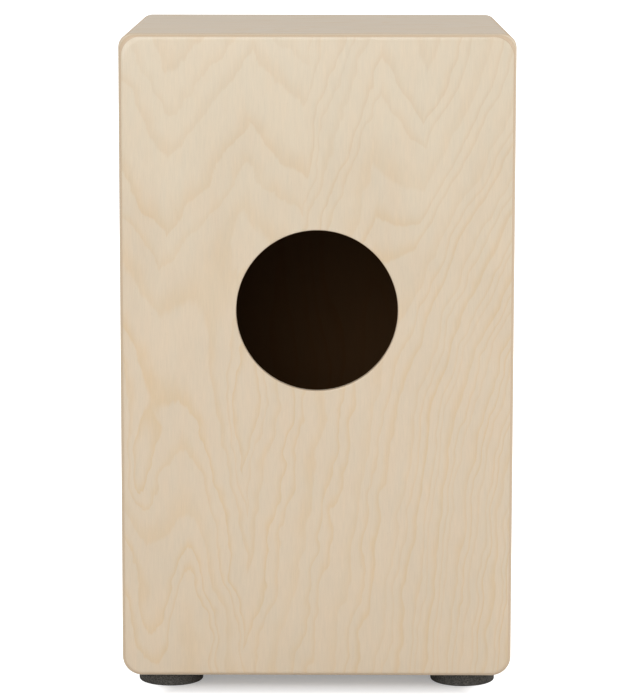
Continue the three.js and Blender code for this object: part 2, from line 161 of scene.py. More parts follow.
def turned(name, profile, steps=64, closed=False):
    """A solid of revolution round Z through [radius, height] points that run upwards."""
    angles = [step / steps * math.tau for step in range(steps)]
    rings = [
        [(radius * math.cos(a), radius * math.sin(a), height) for a in angles]
        for radius, height in profile
    ]
    return lofted(name, rings, closed)


def inset_loop(loop, distance):
    """An anticlockwise loop of [x, y] points, moved inwards by a distance."""
    step = np.roll(loop, -1, axis=0) - loop
    step /= np.linalg.norm(step, axis=1)[:, None]
    inwards_after = np.stack([-step[:, 1], step[:, 0]], axis=1)
    inwards_before = np.roll(inwards_after, 1, axis=0)
    share = 1 + (inwards_after * inwards_before).sum(axis=1)
    return loop + (inwards_after + inwards_before) * (distance / share)[:, None]


def carve(piece, cutter):
    """Takes the cutter out of the piece, for good, and deletes the cutter."""
    modifier = piece.modifiers.new("carve", "BOOLEAN")
    modifier.operation = "DIFFERENCE"
    modifier.solver = "EXACT"
    modifier.object = cutter
    bpy.context.view_layer.update()
    seen = piece.evaluated_get(bpy.context.evaluated_depsgraph_get())
    carved = bpy.data.meshes.new_from_object(seen)
    piece.modifiers.clear()
    piece.data = carved
    bpy.data.objects.remove(cutter)
    carved.set_sharp_from_angle(angle=CREASE)
    return piece


def soften_cad(node, material, width):
    """Keeps a CAD node, with its sharp edges rounded a little and a material of its own."""
    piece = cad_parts[node]
    weld = piece.modifiers.new("weld", "WELD")
    weld.merge_threshold = 0.01 * MM
    bevel = piece.modifiers.new("soften", "BEVEL")
    bevel.width = width
    bevel.segments = 3
    bevel.limit_method = "ANGLE"
    bevel.angle_limit = CREASE
    bevel.harden_normals = True
    piece.data.materials.clear()
    piece.data.materials.append(material)


def centre(node):
    """The middle of a CAD node's box."""
    low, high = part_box(node)
    return (low + high) / 2


# ---------------------------------------------------------------- shader helpers
class Value:
    """A number that shader nodes work out, so that a formula reads as a formula."""

    def __init__(self, shader, socket):
        self.shader = shader
        self.socket = socket

    def __add__(self, other):
        return self.shader.math("ADD", self, other)

    def __sub__(self, other):
        return self.shader.math("SUBTRACT", self, other)

    def __rsub__(self, other):
        return self.shader.math("SUBTRACT", other, self)

    def __neg__(self):
        return self * -1

    def __mul__(self, other):
        return self.shader.math("MULTIPLY", self, other)

    def __truediv__(self, other):
        return self.shader.math("DIVIDE", self, other)


class Shader:
    """A node material whose parts are written as expressions."""

    def __init__(self, name):
        self.material = bpy.data.materials.new(name)
        self.material.use_nodes = True
        self.tree = self.material.node_tree
        self.surface = self.tree.nodes["Principled BSDF"]
        coordinates = self.tree.nodes.new("ShaderNodeTexCoord").outputs["Object"]
        split = self.add("ShaderNodeSeparateXYZ", {"Vector": coordinates})
        self.x, self.y, self.z = (Value(self, split.outputs[axis]) for axis in "XYZ")

    def feed(self, socket, value):
        """Puts a number, a colour, a socket or a Value into a socket."""
        if isinstance(value, Value):
            value = value.socket
        if isinstance(value, bpy.types.NodeSocket):
            self.tree.links.new(value, socket)
        else:
            socket.default_value = value

    def add(self, kind, inputs, **settings):
        node = self.tree.nodes.new(kind)
        for name, setting in settings.items():
            setattr(node, name, setting)
        for name, value in inputs.items():
            self.feed(node.inputs[name], value)
        return node

    def math(self, operation, *values):
        node = self.add("ShaderNodeMath", dict(enumerate(values)), operation=operation)
        return Value(self, node.outputs[0])

    def ramp(self, value, low, high, start=0.0, end=1.0):
        """Goes smoothly from start to end as the value goes from low to high."""
        node = self.add(
            "ShaderNodeMapRange",
            {"Value": value, "From Min": low, "From Max": high, "To Min": start, "To Max": end},
            interpolation_type="SMOOTHSTEP",
        )
        return Value(self, node.outputs[0])

    def curve(self, value, points):
        """A curve through [value, result] points, sharp where it turns and smooth elsewhere."""
        values, results = zip(*points)
        low, high = min(results), max(results)
        trios = zip(results, results[1:], results[2:])
        turns = [here for before, here, after in trios if (here - before) * (after - here) < 0]
        share = (value - values[0]) / (values[-1] - values[0])
        node = self.add("ShaderNodeFloatCurve", {"Value": share})
        handles = node.mapping.curves[0].points
        while len(handles) < len(points):
            handles.new(0.5, 0.5)
        for handle, (at, result) in zip(handles, points):
            across = (at - values[0]) / (values[-1] - values[0])
            up = (result - low) / (high - low)
            handle.location = across, up
            handle.handle_type = "VECTOR" if result in turns else "AUTO"
        node.mapping.update()
        return Value(self, node.outputs[0]) * (high - low) + low

    def noise(self, x, y, z, detail=2.0):
        """Noise from about -1 to 1 whose lumps are about one unit across."""
        place = self.add("ShaderNodeCombineXYZ", {0: x, 1: y, 2: z}).outputs[0]
        node = self.add("ShaderNodeTexNoise", {"Vector": place, "Scale": 1.0, "Detail": detail})
        return (Value(self, node.outputs[0]) - 0.5) * 2.0

    def blend(self, factor, start, end):
        """The colour that lies the given share of the way from start to end."""
        node = self.add("ShaderNodeMix", {0: factor, 6: start, 7: end}, data_type="RGBA")
        return node.outputs[2]

    def tint(self, colour, factor, tint):
        """The colour, multiplied by a tint as far as the factor says."""
        inputs = {0: factor, 6: colour, 7: tint}
        node = self.add("ShaderNodeMix", inputs, data_type="RGBA", blend_type="MULTIPLY")
        return node.outputs[2]

    def scale(self, colour, red, green, blue):
        """The colour, with each of its channels multiplied by a Value."""
        shares = self.add("ShaderNodeCombineXYZ", {0: red, 1: green, 2: blue}).outputs[0]
        node = self.add("ShaderNodeVectorMath", {0: colour, 1: shares}, operation="MULTIPLY")
        return node.outputs[0]

    def shade(self, colour, amount):
        """A colour made lighter or darker by an amount round 0."""
        return self.scale(colour, amount + 1, amount + 1, amount + 1)

    def blush(self, colour, amount):
        """A colour made warmer or cooler: red and a little green go up, and blue goes down."""
        return self.scale(colour, amount + 1, amount * 0.2 + 1, 1 - amount * 0.4)

    def finish(self, colour, roughness, height, depth, metallic=0.0, specular=0.5, lacquer=0.0):
        """Connects the surface. Height is a Value from 0 to 1 that stands for a depth."""
        bump = self.add("ShaderNodeBump", {"Height": height, "Distance": depth, "Strength": 1.0})
        inputs = {
            "Base Color": colour,
            "Roughness": roughness,
            "Metallic": metallic,
            "Specular IOR Level": specular,
            "Coat Weight": lacquer,
            "Coat Roughness": LACQUER_ROUGHNESS,
            "Normal": bump.outputs[0],
        }
        for name, value in inputs.items():
            self.feed(self.surface.inputs[name], value)
        return self.material


def linear(red, green, blue):
    """An sRGB colour of 0 to 255 as the linear colour that Blender wants."""
    def channel(value):
        share = value / 255
        return share / 12.92 if share <= 0.04045 else ((share + 0.055) / 1.055) ** 2.4
    return (channel(red), channel(green), channel(blue), 1.0)


# ---------------------------------------------------------------- plywood
VENEER_PALE = linear(222, 206, 181)
VENEER_WARM = linear(218, 199, 173)
INSIDE_PAINTED_SHADE = (0.24, 0.148, 0.078, 1.0)  # painted shade: what the darkened inner face leaves of the colour, so the box's inside looks dark through the sound hole
# What the dark side of a ring leaves of the colour, in pale wood and in warm wood.
RING_PINK = (0.962, 0.917, 0.868, 1.0)
RING_ORANGE = (0.982, 0.920, 0.808, 1.0)
CORE_LONG = linear(221, 204, 179)
CORE_END = linear(211, 188, 160)
GLUE_BROWN = linear(158, 124, 92)
VENEER_THICKNESS = 0.4 * MM
BOARD_GLOSS = 0.2  # how much of the clear lacquer shows
PANEL_GLOSS = 0.9
LACQUER_ROUGHNESS = 0.14

# The rear veneer's growth rings are the contour lines of a surface. Across the panel, in
# millimetres from the middle, the surface rises and falls by so many rings.
UPPER_RISE = [
    (-150, 1.4), (-113, 0.0), (-78, 1.1), (-52, 2.1), (-32, 1.5), (-10, 1.0),
    (7, 2.8), (45, 6.3), (56, 5.9), (82, 4.6), (120, 7.4), (150, 10.2),
]
LOWER_RISE = [
    (-150, 2.8), (-120, 1.8), (-96, 1.6), (-76, 0.4), (-54, -2.2),
    (-30, 0.0), (0, 2.4), (60, 7.6), (105, 14.6), (150, 22.5),
]
# Eyes, where the rings close round a point: across, along, half width, half height, rings.
REAR_EYES = [(-134, 160, 15, 45, -2.1), (-97, 50, 14, 60, 1.6), (-128, 40, 14, 40, -0.8)]
# Up the panel the surface falls by one ring in so many millimetres.
UPPER_FALL = [(-150, 42), (-20, 38), (60, 42), (150, 60)]
LOWER_FALL = [(-150, 60), (-60, 42), (0, 90), (150, 190)]
UPPER_LEVEL = 430  # heights on the body from which each fall is counted
LOWER_LEVEL = 100
LOWER_OFFSET = 5.6


def rear_figure(shader, across, along, seed):
    """The ring number on the rear veneer. Across and along are in millimetres."""
    # On the right the rings wander less, and the lower part turns more slowly into the upper.
    to_right = shader.ramp(across, 20, 80)
    wander = shader.noise(across / 30, along / 46, seed) * (13 - to_right * 5)
    wander = wander + shader.noise(across / 9, along / 24, seed) * (2.6 - to_right * 1.3)
    across = across + wander
    height = along + shader.noise(across / 3, along / 40, seed + 3.7) * (4.5 - to_right * 1.5)
    upper = shader.curve(across - (height - UPPER_LEVEL) * 0.05, UPPER_RISE)
    upper = upper - (height - UPPER_LEVEL) / shader.curve(across, UPPER_FALL)
    lean = shader.ramp(across, -40, 40) * (height - LOWER_LEVEL) * 0.06
    lower = shader.curve(across - lean, LOWER_RISE) + LOWER_OFFSET
    lower = lower - (height - LOWER_LEVEL) / shader.curve(across, LOWER_FALL)
    for eye_across, eye_along, half_width, half_height, ring_count in REAR_EYES:
        aside = (across - eye_across) / half_width
        above = (height - eye_along) / half_height
        lower = lower + shader.math("EXPONENT", -(aside * aside + above * above)) * ring_count
    return lower + (upper - lower) * shader.ramp(along, 200 - to_right * 80, to_right * 125 + 360)


def wild_figure(shader, across, along, seed):
    """The ring number on any other veneer: tall arches that wander."""
    wander = shader.noise(across / 9, along / 30, seed + 5.1) * 1.6
    arches = shader.noise((across + wander) / 85, along / 260, seed, detail=1.0) * 7
    return arches + across / 45 + shader.noise(across / 30, along / 60, seed + 9.3) * 0.35


def veneer_face(shader, across, along, figure, seed):
    """The outer veneer's colour, with its fibres and its pores as Values."""
    # The rings differ in width and in strength. Each darkens slowly and then ends sharply.
    rings = figure(shader, across, along, seed)
    rings = rings + shader.math("SINE", rings * 2.3) * 0.22
    phase = shader.math("FRACT", rings)
    darkening = shader.math("POWER", shader.ramp(phase, 0.25, 0.96), 2.0)
    line = darkening * shader.ramp(phase, 0.91, 1.0, 1.0, 0.0)
    strength = shader.math("SINE", shader.math("FLOOR", rings) * 1.9 + seed) * 0.22 + 0.78
    line = line * (shader.noise(across / 40, along / 90, seed + 1.3) * 0.5 + strength)

    # Fine marks that all run along the grain, and broad clouds.
    fibre = shader.noise(across / 0.55, along / 14, seed, detail=3.0)
    grain = shader.noise(across / 1.5, along / 13, seed + 6.6)
    specks = shader.noise(across / 0.42, along / 5, seed + 2.2, detail=1.0)
    pores = shader.ramp(specks, 0.34, 0.62)
    cloud = shader.noise(across / 42, along / 70, seed + 4.4)

    # The veneer is warmer low on the body than high on it.
    warmth = shader.ramp(along + cloud * 120, 230, 480, 1.0, 0.0)
    colour = shader.blend(warmth, VENEER_PALE, VENEER_WARM)
    colour = shader.tint(colour, line, shader.blend(warmth, RING_PINK, RING_ORANGE))
    colour = shader.shade(colour, fibre * 0.06 + grain * 0.035 + cloud * 0.024 - pores * 0.06)
    colour = shader.blush(colour, shader.noise(across / 9, along / 34, seed + 7.7) * 0.04)
    return colour, fibre, pores


def core_edge(shader, across, along, depth, ply):
    """The colour of the core plies on a cut edge, with their strands as a Value."""
    plies_down = (depth - VENEER_THICKNESS / MM) / ply
    layer = shader.math("FLOOR", plies_down)
    is_end = shader.math("MODULO", layer + 1, 2.0)
    strands = shader.noise(across / 1.1, along / 1.1, depth * 5, detail=4.0)
    colour = shader.shade(shader.blend(is_end, CORE_LONG, CORE_END), strands * 0.12)
    glue = shader.ramp(plies_down - layer, 0.0, 0.10, 1.0, 0.0)
    return shader.blend(glue * 0.5, colour, GLUE_BROWN), strands


def plywood(name, place, thickness, core_plies, figure, seed, gloss=BOARD_GLOSS):
    """Lacquered birch plywood, its inner face darkened by painted shade.

    Place turns x, y, z into across, along and depth, and figure gives the ring number there.
    """
    shader = Shader(name)
    across, along, depth = (value / MM for value in place(shader.x, shader.y, shader.z))
    veneer, fibre, pores = veneer_face(shader, across, along, figure, seed)
    # Painted shade: the inner face is darkened so the inside of the box looks dark through the
    # sound hole.
    inside = shader.ramp(depth, thickness / MM - 0.05, thickness / MM)
    veneer = shader.tint(veneer, inside, INSIDE_PAINTED_SHADE)

    core_half = (thickness / 2 - VENEER_THICKNESS) / MM
    core, strands = core_edge(shader, across, along, depth, 2 * core_half / core_plies)
    from_middle = shader.math("ABSOLUTE", depth - thickness / MM / 2)
    in_core = shader.ramp(from_middle, core_half - 0.05, core_half + 0.05, 1.0, 0.0)

    lacquered = 1 - shader.math("MAXIMUM", inside, in_core * 0.7)
    return shader.finish(
        shader.blend(in_core, veneer, core),
        roughness=fibre * 0.03 + pores * 0.12 + in_core * 0.18 + inside * 0.35 + 0.44,
        height=fibre * 0.15 - pores * 0.6 + strands * in_core * 0.3 + 0.5,
        depth=0.03 * MM,
        specular=0.15,
        lacquer=lacquered * gloss,
    )


BOARD_PLIES = 9  # core plies, between the two face veneers
REAR_PLIES = 4
TAPA_PLIES = 2

plywood_of = {
    "rear_panel": plywood(
        "birch_ply_rear", lambda x, y, z: (x, z - BODY_BOTTOM, y - REAR_LOW.y),
        REAR_THICKNESS, REAR_PLIES, rear_figure, 0.0, PANEL_GLOSS,
    ),
    "tapa": plywood(
        "birch_ply_tapa", lambda x, y, z: (x, z, TAPA_HIGH.y - y),
        TAPA_THICKNESS, TAPA_PLIES, wild_figure, 21.0, PANEL_GLOSS,
    ),
    "left_side_panel": plywood(
        "birch_ply_left", lambda x, y, z: (y, z, x - REAR_LOW.x),
        WALL, BOARD_PLIES, wild_figure, 34.0,
    ),
    "right_side_panel": plywood(
        "birch_ply_right", lambda x, y, z: (y, z, REAR_HIGH.x - x),
        WALL, BOARD_PLIES, wild_figure, 47.0,
    ),
    "top_panel": plywood(
        "birch_ply_top", lambda x, y, z: (y, x, BODY_TOP - z),
        WALL, BOARD_PLIES, wild_figure, 58.0,
    ),
    "bottom_panel": plywood(
        "birch_ply_bottom", lambda x, y, z: (y, x, z - BODY_BOTTOM),
        WALL, BOARD_PLIES, wild_figure, 63.0,
    ),
}


# ---------------------------------------------------------------- the other materials
def planed_wood(name, place, pale, dark, ring_spacing, seed):
    """Bare planed timber with straight grain along its length."""
    shader = Shader(name)
    across, along, depth = (value / MM for value in place(shader.x, shader.y, shader.z))
    sway = shader.noise(across / 30, along / 120, depth / 30) * 3
    rings = shader.math("FRACT", (across + depth * 0.6 + sway) / ring_spacing)
    line = shader.ramp(rings, 0.35, 0.95) * shader.ramp(rings, 0.95, 1.0, 1.0, 0.0)
    fibre = shader.noise(across / 0.5, along / 12, depth / 0.5 + seed, detail=3.0)
    flecks = shader.ramp(shader.noise(across / 0.7, along / 2.5, depth / 0.7, detail=1.0), 0.4, 0.6)
    colour = shader.shade(shader.blend(line * 0.7, pale, dark), fibre * 0.06 - flecks * 0.08)
    height = fibre * 0.3 - flecks * 0.4 + 0.5
    return shader.finish(colour, fibre * 0.05 + 0.62, height, depth=0.06 * MM, specular=0.3)


def foam_rubber():
    """Dark grey foam rubber, speckled with paler and darker crumbs."""
    shader = Shader("foam_rubber")
    x, y, z = (value / MM for value in (shader.x, shader.y, shader.z))
    crumbs = shader.noise(x / 0.9, y / 0.9, z / 0.9, detail=3.0)
    grit = shader.noise(x / 0.35, y / 0.35, z / 0.35, detail=1.0)
    patches = shader.noise(x / 5, y / 5, z / 5)
    colour = shader.blend(shader.ramp(crumbs, -0.5, 0.5), linear(54, 52, 49), linear(104, 102, 97))
    colour = shader.shade(colour, patches * 0.12 + grit * 0.15)
    height = crumbs * 0.35 + grit * 0.2 + 0.5
    return shader.finish(colour, grit * 0.06 + 0.86, height, depth=0.35 * MM, specular=0.25)


def steel(name, pale, dark, roughness, metallic=1.0):
    """Plated or blackened steel, with faint smudges and fine scratches."""
    shader = Shader(name)
    x, y, z = (value / MM for value in (shader.x, shader.y, shader.z))
    smudges = shader.noise(x / 4, y / 4, z / 4)
    scratches = shader.noise(x / 0.15, y / 2, z / 0.4, detail=2.0)
    colour = shader.blend(shader.ramp(smudges, -0.6, 0.6), pale, dark)
    wear = smudges * 0.06 + scratches * 0.05 + roughness
    height = scratches * 0.5 + 0.5
    return shader.finish(colour, wear, height, depth=0.008 * MM, metallic=metallic)


def pad_fabric():
    """Black hook-and-loop fabric with a woven base."""
    shader = Shader("hook_and_loop")
    x, y, z = (value / MM for value in (shader.x, shader.y, shader.z))
    weave = shader.math("SINE", x * 9) * shader.math("SINE", z * 9)
    fuzz = shader.noise(x / 0.3, y / 0.3, z / 0.3, detail=3.0)
    colour = shader.blend(shader.ramp(fuzz, -0.6, 0.6), linear(16, 16, 18), linear(46, 46, 50))
    height = weave * 0.3 + fuzz * 0.3 + 0.5
    return shader.finish(colour, 0.92, height, depth=0.12 * MM, specular=0.2)


spruce = planed_wood(
    "spruce", lambda x, y, z: (x, y, z), linear(222, 190, 142), linear(188, 142, 88), 3.2, 1.0
)
beech = planed_wood(
    "beech", lambda x, y, z: (z, x, y), linear(205, 165, 122), linear(176, 130, 88), 5.5, 2.0
)
rubber = foam_rubber()
zinc = steel("zinc_plate", linear(200, 202, 205), linear(170, 173, 176), 0.32)
black_oxide = steel("black_oxide", linear(38, 38, 40), linear(24, 24, 26), 0.38, metallic=0.6)
spring_steel = steel("spring_steel", linear(205, 206, 208), linear(178, 180, 183), 0.28)
velcro = pad_fabric()


# ---------------------------------------------------------------- the two faces of the box
def rounded_loop(inset, top_corner, bottom_corner, corner_steps=14, side_step=6 * MM):
    """The box's outline moved inwards, with its own corner radii: an anticlockwise loop."""
    points = []
    sides = [BODY_WIDTH, BODY_HEIGHT]
    corners = [(1, 1), (-1, 1), (-1, -1), (1, -1)]
    radii = [top_corner, top_corner, bottom_corner, bottom_corner]
    for corner, (sign_x, sign_y) in enumerate(corners):
        radius = radii[corner]
        middle = np.array([
            sign_x * (BODY_WIDTH / 2 - inset - radius),
            sign_y * (BODY_HEIGHT / 2 - inset - radius),
        ])
        for step in range(corner_steps + 1):
            angle = (corner + step / corner_steps) * QUARTER
            arm = np.array([math.cos(angle), math.sin(angle)])
            points.append(middle + arm * radius)
        side = sides[corner % 2]
        straight = side - 2 * inset - radius - radii[(corner + 1) % 4]
        forwards = np.array([-math.sin(angle), math.cos(angle)])
        start = points[-1]
        steps = round(side / side_step)
        for step in range(1, steps):
            points.append(start + forwards * straight * step / steps)
    return np.array(points)


def panel_rings(thickness, edge_radius, face_corners, steps=10):
    """[loop, depth under the face] from a panel's face, over its rounded edge, to its back.

    The loops' corners go from the face's radii to those of the box.
    """
    face_top, face_bottom = face_corners
    face_loop = rounded_loop(edge_radius + SUPPORT, face_top - SUPPORT, face_bottom - SUPPORT)
    rings = [(face_loop, 0)]
    for step in range(steps + 1):
        angle = step / steps * QUARTER
        share = 1 - math.sin(angle)
        top = TOP_CORNER + (face_top - TOP_CORNER) * share
        bottom = BOTTOM_CORNER + (face_bottom - BOTTOM_CORNER) * share
        loop = rounded_loop(edge_radius * share, top, bottom)
        rings.append((loop, edge_radius * (1 - math.cos(angle))))
    rings.append((rounded_loop(0, TOP_CORNER, BOTTOM_CORNER), thickness - SEAM_SOFTNESS))
    softened = [TOP_CORNER - SEAM_SOFTNESS, BOTTOM_CORNER - SEAM_SOFTNESS]
    rings.append((rounded_loop(SEAM_SOFTNESS, *softened), thickness))
    return rings


def hole_profile(steps=6):
    """[radius, depth under the face] from the back of the sound hole, out over its lip."""
    profile = [(HOLE_RADIUS, REAR_THICKNESS)]
    for step in range(steps + 1):
        angle = step / steps * QUARTER
        flare = HOLE_LIP * (1 - math.cos(angle))
        profile.append((HOLE_RADIUS + flare, HOLE_LIP * (1 - math.sin(angle))))
    profile.append((HOLE_RADIUS + HOLE_LIP + SUPPORT, 0))
    return profile


def rear_panel():
    """One skin that runs out over the edge, across the back and in through the sound hole."""
    rings = panel_rings(REAR_THICKNESS, REAR_EDGE_RADIUS, REAR_FACE_CORNERS)
    to_hole = np.array([0, HOLE_HEIGHT - BODY_MIDDLE])
    arms = rings[0][0] - to_hole
    arms /= np.linalg.norm(arms, axis=1)[:, None]
    rings += [(to_hole + arms * radius, depth) for radius, depth in hole_profile()]
    placed = [
        [(x, REAR_LOW.y + depth, BODY_MIDDLE + z) for x, z in loop] for loop, depth in rings
    ]
    return lofted("rear_panel_veneered", placed, closed=True)


def tapa():
    """The playing panel, countersunk for its screws."""
    rings = [
        [(-x, TAPA_HIGH.y - depth, BODY_MIDDLE + z) for x, z in loop]
        for loop, depth in panel_rings(TAPA_THICKNESS, TAPA_EDGE_RADIUS, TAPA_FACE_CORNERS)
    ]
    panel = lofted("tapa_veneered", rings)
    for node in nodes_named("tapa_screw"):
        place = screw_place(node, "tapa")
        carve(panel, countersink(TAPA_SCREW, place))
    return panel


# ---------------------------------------------------------------- fasteners
def nodes_named(start):
    """The CAD nodes whose names start in the same way, in order."""
    return [node for node in NODES if node.startswith(start)]


def aimed(direction, place):
    """A matrix that turns -Z to a direction and moves the origin to a place."""
    turn = Vector((0, 0, -1)).rotation_difference(Vector(direction)).to_matrix().to_4x4()
    return Matrix.Translation(place) @ turn


def screw_place(node, kind):
    """Where a screw's clamped face is, and which way the screw points."""
    low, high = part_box(node)
    middle = centre(node)
    if kind == "tapa":
        return aimed((0, -1, 0), (middle.x, high.y, middle.z))
    if kind == "foot":
        head = FOOT_SCREW["head_height"] * MM
        return aimed((0, 0, 1), (middle.x, middle.y, low.z + head))
    sign = math.copysign(1, middle.x)
    return aimed((sign, 0, 0), (low.x if sign > 0 else high.x, middle.y, middle.z))


def countersink(size, place):
    """The cutter for a countersunk hole through a thin panel."""
    shank = size["shank"] / 2 * MM + FIT_GAP
    head = size["head"] / 2 * MM + FIT_GAP
    cutter = turned(
        "countersink",
        [(shank, -10 * MM), (shank, shank - head), (head, 0), (head, 1 * MM)],
        steps=40,
    )
    cutter.data.transform(place)
    return cutter


def cross_recess(top):
    """A tapered cross that cuts the driver recess below a height."""
    def cross(arm, half, height):
        corner = [(arm, -half), (arm, half), (half, half)]
        loop = []
        for quarter in range(4):
            turn = Matrix.Rotation(quarter * QUARTER, 2)
            loop += [(*(turn @ Vector(point)), height) for point in corner]
        return loop
    rings = [
        cross(0.9 * MM, 0.30 * MM, top - 1.5 * MM),
        cross(1.8 * MM, 0.42 * MM, top),
        cross(1.8 * MM, 0.42 * MM, top + 1 * MM),
    ]
    return lofted("cross_recess", rings)


def screw_mesh(name, size):
    """A wood screw that points down -Z, with the face it clamps at z = 0."""
    shank = size["shank"] / 2 * MM
    head = size["head"] / 2 * MM
    length = size["length"] * MM
    tall = size["head_height"] * MM
    root = shank * 0.72
    neck = shank * 0.9
    thread_bottom = 5 * MM - length
    thread_top = -0.35 * length
    thread_pitch = 1.6 * MM
    profile = [(0.05 * MM, -length), (root * 0.8, thread_bottom - 1 * MM)]
    for index in range(int((thread_top - thread_bottom) / thread_pitch)):
        depth = thread_bottom + index * thread_pitch
        profile += [(root, depth), (shank, depth + 0.7 * MM), (root, depth + 1.4 * MM)]
    profile += [(root, thread_top), (neck, thread_top + 0.6 * MM)]
    if tall:
        profile += [(neck, 0), (head - 0.1 * MM, 0), (head, 0.1 * MM)]
        for step in range(1, 7):
            angle = step / 6 * QUARTER
            radius = head * math.cos(angle) ** 0.5 + 0.01 * MM
            profile.append((radius, tall * (0.25 + 0.75 * math.sin(angle))))
    else:
        profile += [(neck, shank - head), (head, -0.12 * MM), (head - 0.12 * MM, 0)]
    screw = carve(turned(name, profile, steps=40), cross_recess(tall))
    mesh = screw.data
    bpy.data.objects.remove(screw)
    return mesh


def place_screw(node, mesh, place, material, slot, body):
    """Puts a copy of a screw's mesh where a CAD screw is."""
    piece = bpy.data.objects.new(node + "_turned", mesh.copy())
    bpy.context.scene.collection.objects.link(piece)
    piece.data.transform(place)
    dress(piece, material, slot, body, node)


def add_screws(start, size, kind, material, slot):
    """All the box's screws whose node names start in the same way."""
    mesh = screw_mesh(start + "_mesh", size)
    for node in nodes_named(start):
        place_screw(node, mesh, screw_place(node, kind), material, slot, BOX_BODY)


def add_box_screws():
    add_screws("tapa_screw", TAPA_SCREW, "tapa", black_oxide, "black_steel")
    add_screws("snare_block_screw", BLOCK_SCREW, "block", zinc, "zinced_steel")
    add_screws("foot_screw", FOOT_SCREW, "foot", zinc, "zinced_steel")


# ---------------------------------------------------------------- the frame boards
def mitred_end(length, corner, steps=14):
    """The +X end of a frame board's section, from its outer face at 0 round to its inner face.

    The mitred end carries half of a rounded corner of the box.
    """
    half = length / 2
    middle = half - corner
    mitre = QUARTER / 2 + GLUE_LINE / 2 / corner
    points = [(middle - SUPPORT, 0)]
    for step in range(steps + 1):
        angle = QUARTER + (mitre - QUARTER) * step / steps
        points.append((middle + corner * math.cos(angle), corner * (math.sin(angle) - 1)))
    points.append((half - WALL - GLUE_LINE / 2 * math.sqrt(2), -WALL))
    return points


def mitred_outline(length, minus_corner, plus_corner):
    """A frame board's whole section, anticlockwise, with the corner radius of each end."""
    minus_end = [(-x, z) for x, z in mitred_end(length, minus_corner)]
    plus_end = mitred_end(length, plus_corner)
    return np.array(minus_end + plus_end[::-1])


def frame_board(node, length, corners, turn, from_middle):
    """One board of the frame, its outer face turned to look away from the middle."""
    outline = mitred_outline(length, *corners)
    soft = inset_loop(outline, SEAM_SOFTNESS)
    stations = [
        (soft, FRAME_LOW.y),
        (outline, FRAME_LOW.y + SEAM_SOFTNESS),
        (outline, FRAME_HIGH.y - SEAM_SOFTNESS),
        (soft, FRAME_HIGH.y),
    ]
    spin = Matrix.Rotation(turn, 4, "Y")
    rings = []
    for loop, y in stations:
        placed = [spin @ Vector((x, y, z + from_middle)) for x, z in loop]
        rings.append([(p.x, p.y, p.z + BODY_MIDDLE) for p in placed])
    board = lofted(node + "_veneered", rings)
    dress(board, plywood_of[node], "birch_plywood", BOX_BODY, node)


def add_box():
    """The two faces, the four frame boards and the corner battens."""
    dress(rear_panel(), plywood_of["rear_panel"], "birch_plywood", BOX_BODY, "rear_panel")
    dress(tapa(), plywood_of["tapa"], "birch_plywood", BOX_BODY, "tapa")
    top, bottom = TOP_CORNER, BOTTOM_CORNER
    frame_board("top_panel", BODY_WIDTH, (top, top), 0, BODY_HEIGHT / 2)
    frame_board("bottom_panel", BODY_WIDTH, (bottom, bottom), 2 * QUARTER, BODY_HEIGHT / 2)
    frame_board("right_side_panel", BODY_HEIGHT, (top, bottom), QUARTER, BODY_WIDTH / 2)
    frame_board("left_side_panel", BODY_HEIGHT, (bottom, top), -QUARTER, BODY_WIDTH / 2)
    for node in nodes_named("corner_batten"):
        soften_cad(node, spruce, BATTEN_SOFTNESS)


# ---------------------------------------------------------------- feet
def foot(node):
    """A rubber foot with a stepped screw hole and a soft lower edge."""
    low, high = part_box(node)
    radius = (high.x - low.x) / 2
    height = high.z - low.z
    recess = 7.5 * MM
    recess_depth = 5 * MM
    edge = 1.6 * MM
    soft = 0.5 * MM
    profile = [
        (FOOT_BORE, recess_depth),
        (recess - soft, recess_depth),
        (recess, recess_depth - soft),
        (recess, 0.8 * MM),
        (recess + 0.8 * MM, 0),
        (radius - edge - SUPPORT, 0),
    ]
    for step in range(9):
        angle = step / 8 * QUARTER
        profile.append((radius - edge * (1 - math.sin(angle)), edge * (1 - math.cos(angle))))
    profile += [(radius, height - soft), (radius - soft, height), (FOOT_BORE, height)]
    piece = turned(node + "_moulded", profile, steps=96, closed=True)
    piece.data.transform(Matrix.Translation((centre(node).x, centre(node).y, low.z)))
    dress(piece, rubber, "foot_rubber", BOX_BODY, node)


def washer(node):
    """A flat washer with its edges taken off."""
    low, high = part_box(node)
    outer = (high.x - low.x) / 2
    thickness = high.z - low.z
    soft = 0.15 * MM
    profile = [
        (FOOT_BORE + soft, 0),
        (outer - soft, 0),
        (outer, soft),
        (outer, thickness - soft),
        (outer - soft, thickness),
        (FOOT_BORE + soft, thickness),
        (FOOT_BORE, thickness - soft),
        (FOOT_BORE, soft),
    ]
    piece = turned(node + "_pressed", profile, steps=48, closed=True)
    piece.data.transform(Matrix.Translation((centre(node).x, centre(node).y, low.z)))
    dress(piece, zinc, "zinced_steel", BOX_BODY, node)


def add_feet():
    for end in ("rear", "front"):
        for side in SIDES:
            foot(f"foot_{end}_{side}")
            washer(f"foot_washer_{end}_{side}")


# ---------------------------------------------------------------- the snare unit
# The snare frame has its origin on the bar's front face, its Z along the wires.
SNARE_TURN = Matrix.Rotation(-SNARE_LEAN, 4, "X")
TO_BAR_FACE = Matrix.Translation((0, BAR_DEPTH / 2, 0))
SNARE_FRAME = Matrix.Translation(centre("snare_bar")) @ SNARE_TURN @ TO_BAR_FACE


